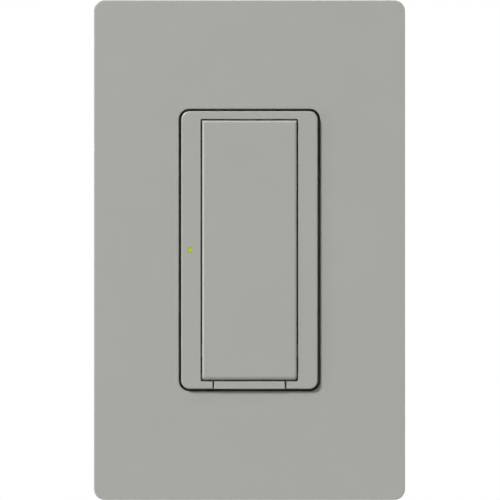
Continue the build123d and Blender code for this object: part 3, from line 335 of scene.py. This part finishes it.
# Switch behind the service tab: a natural plastic carrier with a rolled copper bridge and two silver tips.
# The bridge closes the two brass contacts while the tab is in.
CARRIER_NATURAL = (0.70, 0.67, 0.58)
COPPER = (0.78, 0.42, 0.26)
SILVER = (0.86, 0.86, 0.84)
natural_plastic = moulded_plastic("natural_plastic", CARRIER_NATURAL, roughness=0.5, grain=0.0003,
                                  depth=0.000006, unevenness=0.03)
dress(natural_plastic, "carrier_plastic", "contact_carrier")
rolled_copper = rolled_metal("rolled_copper", COPPER, roughness=0.3, line=0.0004, stretch=(0.05, 1.0, 1.0))
dress(rolled_copper, "copper_strip", "contact_bridge")
silver_tip = plated_metal("silver_tip", SILVER, roughness=0.3)
dress(silver_tip, "silver_tip", "moving_tips")

# Circuit boards: glass-cloth laminate under olive green lacquer, with the copper tracks showing through it as
# lighter lines that run round their pads.
LACQUER_GREEN = (0.10, 0.108, 0.05)
TRACK_GREEN = (0.15, 0.17, 0.075)
PAD_SPACING = 0.0075
TRACK_STEP = 0.075
TRACK_FROM, TRACK_BY = 0.044, 0.050
TRACK_DEPTH = 0.00003
LACQUER_MARK_SIZE = 0.004
green_laminate, board_nodes, board_links, board_shader = new_finish("green_laminate", LACQUER_GREEN,
                                                                    roughness=0.3)
board_place = board_nodes.new("ShaderNodeTexCoord")
board_turn = board_nodes.new("ShaderNodeMapping")
board_turn.inputs["Rotation"].default_value = (radians(90), 0.0, 0.0)
board_pads = board_nodes.new("ShaderNodeTexVoronoi")
board_pads.voronoi_dimensions = "2D"
board_pads.distance = "CHEBYCHEV"
board_pads.inputs["Scale"].default_value = 1 / PAD_SPACING
board_steps = board_nodes.new("ShaderNodeMath")
board_steps.operation = "PINGPONG"
board_steps.inputs[1].default_value = TRACK_STEP
board_tracks = board_nodes.new("ShaderNodeMapRange")
board_tracks.inputs["From Min"].default_value = TRACK_FROM
board_tracks.inputs["From Max"].default_value = TRACK_BY
board_links.new(board_place.outputs["Object"], board_turn.inputs["Vector"])
board_links.new(board_turn.outputs["Vector"], board_pads.inputs["Vector"])
board_links.new(board_pads.outputs["Distance"], board_steps.inputs[0])
board_links.new(board_steps.outputs[0], board_tracks.inputs["Value"])
shade_between(board_nodes, board_links, board_tracks.outputs["Result"], LACQUER_GREEN, TRACK_GREEN,
              board_shader.inputs["Base Color"])
vary(board_nodes, board_links, noise_on(board_nodes, board_links, LACQUER_MARK_SIZE), 0.25, 0.38,
     board_shader.inputs["Roughness"])
relief(board_nodes, board_links, board_tracks.outputs["Result"], TRACK_DEPTH, board_shader)
dress(green_laminate, "circuit_board", "control_board", "power_board")

# Parts on the control board: the tactile switch, status light, processor, tinned shield and antenna, header,
# and the four screws that hold the board.
BLACK = (0.018, 0.018, 0.019)
PLUNGER_PALE = (0.6, 0.6, 0.57)
CHIP_RESIN = (0.75, 0.78, 0.55)
TIN = (0.68, 0.68, 0.66)
black_moulding = moulded_plastic("black_moulding", BLACK, roughness=0.5, grain=0.0002, depth=0.000008,
                                 unevenness=0.1)
dress(black_moulding, "black_plastic", "tact_switch_body", "processor", "board_header")
pale_moulding = moulded_plastic("pale_moulding", PLUNGER_PALE, roughness=0.4, grain=0.0002, depth=0.000005,
                                unevenness=0.03)
dress(pale_moulding, "plunger_plastic", "tact_switch_plunger")
chip_resin = moulded_plastic("chip_resin", CHIP_RESIN, roughness=0.25, grain=0.0003, depth=0.000004,
                             unevenness=0.05)
dress(chip_resin, "light_chip", "status_light")
tinned_sheet = rolled_metal("tinned_sheet", TIN, roughness=0.32, line=0.0005, stretch=(1.0, 1.0, 0.1))
dress(tinned_sheet, "tinned_sheet", "radio_shield", "antenna", "board_header_pins")
driven("control_board_screws", zinc_plate, cross_bars("control_board_screws"))

# Parts on the power board: a relay, a small transformer, two capacitor cans, a film capacitor, a dipped
# varistor, a fusible resistor and the board's two screws.
RELAY_BLUE = (0.02, 0.04, 0.11)
FERRITE = (0.05, 0.05, 0.055)
WINDING_YELLOW = (0.72, 0.55, 0.1)
SLEEVE_BLACK = (0.02, 0.02, 0.03)
FILM_YELLOW = (0.66, 0.47, 0.08)
VARISTOR_BLUE = (0.03, 0.09, 0.33)
RESISTOR_LACQUER = (0.27, 0.42, 0.46)
relay_case = moulded_plastic("relay_case", RELAY_BLUE, roughness=0.45, grain=0.0004, depth=0.00001,
                             unevenness=0.06)
dress(relay_case, "relay_case", "relay")
sintered = moulded_plastic("sintered", FERRITE, roughness=0.65, grain=0.00025, depth=0.00002, unevenness=0.2)
dress(sintered, "ferrite", "transformer_core")
film_tape = moulded_plastic("film_tape", WINDING_YELLOW, roughness=0.22, grain=0.001, depth=0.00001,
                            unevenness=0.05)
dress(film_tape, "winding_tape", "transformer_winding")
shrunk_sleeve = moulded_plastic("shrunk_sleeve", SLEEVE_BLACK, roughness=0.28, grain=0.0008, depth=0.00001,
                                unevenness=0.1)
dress(shrunk_sleeve, "capacitor_sleeve", "electrolytic_capacitor_left", "electrolytic_capacitor_right")
film_box = moulded_plastic("film_box", FILM_YELLOW, roughness=0.35, grain=0.0004, depth=0.00001,
                           unevenness=0.05)
dress(film_box, "film_case", "film_capacitor")
blue_dip = moulded_plastic("blue_dip", VARISTOR_BLUE, roughness=0.3, grain=0.0015, depth=0.00004,
                           unevenness=0.1)
dress(blue_dip, "varistor_dip", "varistor")
pale_lacquer = moulded_plastic("pale_lacquer", RESISTOR_LACQUER, roughness=0.4, grain=0.001, depth=0.00002,
                               unevenness=0.06)
dress(pale_lacquer, "resistor_lacquer", "fusible_resistor")
driven("power_board_screws", zinc_plate, cross_bars("power_board_screws"))

# Studio: a pale floor that turns white away from the object, and white all round, dark only in reflections of
# the room in front. One strong lamp at the upper left, three small grazing ones that pick out the edges, and
# two soft ones behind the wall plane for the right side and the back.
FLOOR_DROP = 0.024
FLOOR_WIDTH = 12.0
FLOOR_GREY = (0.4, 0.4, 0.4)
FLOOR_GLOW = 0.62
WHITE_FROM, WHITE_BY = 0.3, 0.55
WHITE = (1.0, 1.0, 1.0, 1.0)
SOFT_FILL = 0.03
DARK_WITHIN, DARK_UNTIL = -0.85, -0.6
GRAZING_AWAY, GRAZING_FRONT, GRAZING_SIZE = 1.41, -0.51, 0.1
plate_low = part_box("faceplate")[0]
bpy.ops.mesh.primitive_plane_add(size=FLOOR_WIDTH, location=(0.0, 0.0, plate_low.z - FLOOR_DROP))
floor = bpy.context.object
floor.name = "floor"


def seen_directly(nodes, links):
    """A factor that is 1 where the camera, a reflection or a clear piece sees the surface, and else 0."""
    path = nodes.new("ShaderNodeLightPath")
    first = nodes.new("ShaderNodeMath")
    first.operation = "MAXIMUM"
    both = nodes.new("ShaderNodeMath")
    both.operation = "MAXIMUM"
    links.new(path.outputs["Is Camera Ray"], first.inputs[0])
    links.new(path.outputs["Is Glossy Ray"], first.inputs[1])
    links.new(first.outputs[0], both.inputs[0])
    links.new(path.outputs["Is Transmission Ray"], both.inputs[1])
    return both.outputs[0]


white_floor, floor_nodes, floor_links, floor_shader = new_finish("white_floor", FLOOR_GREY, roughness=0.9)
floor_glow = floor_nodes.new("ShaderNodeEmission")
floor_glow.inputs["Strength"].default_value = FLOOR_GLOW
floor_sum = floor_nodes.new("ShaderNodeAddShader")
floor_far = floor_nodes.new("ShaderNodeEmission")
floor_fade = floor_nodes.new("ShaderNodeMixShader")
floor_place = floor_nodes.new("ShaderNodeTexCoord")
floor_reach = floor_nodes.new("ShaderNodeVectorMath")
floor_reach.operation = "LENGTH"
floor_away = floor_nodes.new("ShaderNodeMapRange")
floor_away.inputs["From Min"].default_value = WHITE_FROM
floor_away.inputs["From Max"].default_value = WHITE_BY
floor_mix = floor_nodes.new("ShaderNodeMixShader")
floor_links.new(floor_place.outputs["Object"], floor_reach.inputs[0])
floor_links.new(floor_reach.outputs["Value"], floor_away.inputs["Value"])
floor_links.new(floor_shader.outputs[0], floor_sum.inputs[0])
floor_links.new(floor_glow.outputs[0], floor_sum.inputs[1])
floor_links.new(floor_away.outputs["Result"], floor_fade.inputs["Fac"])
floor_links.new(floor_sum.outputs[0], floor_fade.inputs[1])
floor_links.new(floor_far.outputs[0], floor_fade.inputs[2])
floor_links.new(seen_directly(floor_nodes, floor_links), floor_mix.inputs["Fac"])
floor_links.new(floor_shader.outputs[0], floor_mix.inputs[1])
floor_links.new(floor_fade.outputs[0], floor_mix.inputs[2])
floor_links.new(floor_mix.outputs[0], floor_nodes["Material Output"].inputs["Surface"])
floor.data.materials.append(white_floor)

world = bpy.data.worlds.new("studio")
bpy.context.scene.world = world
world.use_nodes = True
sky_nodes, sky_links = world.node_tree.nodes, world.node_tree.links
sky_soft = sky_nodes["Background"]
sky_soft.inputs["Color"].default_value = WHITE
sky_soft.inputs["Strength"].default_value = SOFT_FILL
sky_white = sky_nodes.new("ShaderNodeBackground")
sky_white.inputs["Color"].default_value = WHITE
sky_place = sky_nodes.new("ShaderNodeTexCoord")
sky_parts = sky_nodes.new("ShaderNodeSeparateXYZ")
sky_front = sky_nodes.new("ShaderNodeMapRange")
sky_front.inputs["From Min"].default_value = DARK_WITHIN
sky_front.inputs["From Max"].default_value = DARK_UNTIL
sky_path = sky_nodes.new("ShaderNodeLightPath")
sky_shown = sky_nodes.new("ShaderNodeMath")
sky_shown.operation = "MAXIMUM"
sky_level = sky_nodes.new("ShaderNodeMath")
sky_level.operation = "MAXIMUM"
sky_links.new(sky_place.outputs["Generated"], sky_parts.inputs[0])
sky_links.new(sky_parts.outputs["Y"], sky_front.inputs["Value"])
sky_links.new(sky_path.outputs["Is Camera Ray"], sky_shown.inputs[0])
sky_links.new(sky_path.outputs["Is Transmission Ray"], sky_shown.inputs[1])
sky_links.new(sky_shown.outputs[0], sky_level.inputs[0])
sky_links.new(sky_front.outputs["Result"], sky_level.inputs[1])
sky_links.new(sky_level.outputs[0], sky_white.inputs["Strength"])
sky_mix = sky_nodes.new("ShaderNodeMixShader")
sky_links.new(seen_directly(sky_nodes, sky_links), sky_mix.inputs["Fac"])
sky_links.new(sky_soft.outputs[0], sky_mix.inputs[1])
sky_links.new(sky_white.outputs[0], sky_mix.inputs[2])
sky_links.new(sky_mix.outputs[0], sky_nodes["World Output"].inputs["Surface"])


def soft_lamp(name, place, size, watts):
    """A square soft box aimed at the object's origin."""
    lamp = bpy.data.lights.new(name, "AREA")
    lamp.shape = "SQUARE"
    lamp.size = size
    lamp.energy = watts
    holder = bpy.data.objects.new(name, lamp)
    bpy.context.scene.collection.objects.link(holder)
    holder.location = place
    holder.rotation_euler = (-Vector(place)).to_track_quat("-Z", "Y").to_euler()


soft_lamp("key_lamp", place=(-1.75, -2.0, 1.93), size=0.5, watts=122.0)
soft_lamp("left_lamp", place=(-GRAZING_AWAY, GRAZING_FRONT, 0.0), size=GRAZING_SIZE, watts=2.5)
soft_lamp("top_lamp", place=(0.0, GRAZING_FRONT, GRAZING_AWAY), size=GRAZING_SIZE, watts=2.0)
soft_lamp("right_lamp", place=(GRAZING_AWAY, GRAZING_FRONT, 0.0), size=GRAZING_SIZE, watts=1.5)
soft_lamp("side_lamp", place=(1.5, 0.5, 0.3), size=0.8, watts=7.0)
soft_lamp("rear_lamp", place=(0.5, 1.4, 0.9), size=0.9, watts=8.0)

# Camera: level with the object's middle, square to the wall, with a long lens. The frame's height is the
# faceplate's, as in the photograph, which is centred a hair to the right of it.
CAMERA_AWAY = 1.5
CAMERA_RIGHT, CAMERA_UP = 0.00012, 0.00001
FRAME_WIDTH = 0.11907
SENSOR = 36.0
VIEW_REACH = 30.0
camera_data = bpy.data.cameras.new("camera")
camera_data.sensor_width = SENSOR
camera_data.lens = SENSOR * CAMERA_AWAY / FRAME_WIDTH
camera_data.clip_end = VIEW_REACH
camera = bpy.data.objects.new("camera", camera_data)
bpy.context.scene.collection.objects.link(camera)
camera.location = (CAMERA_RIGHT, plate_low.y - CAMERA_AWAY, CAMERA_UP)
camera.rotation_euler = (radians(90), 0.0, 0.0)
bpy.context.scene.camera = camera
bpy.context.scene.view_settings.view_transform = "Standard"
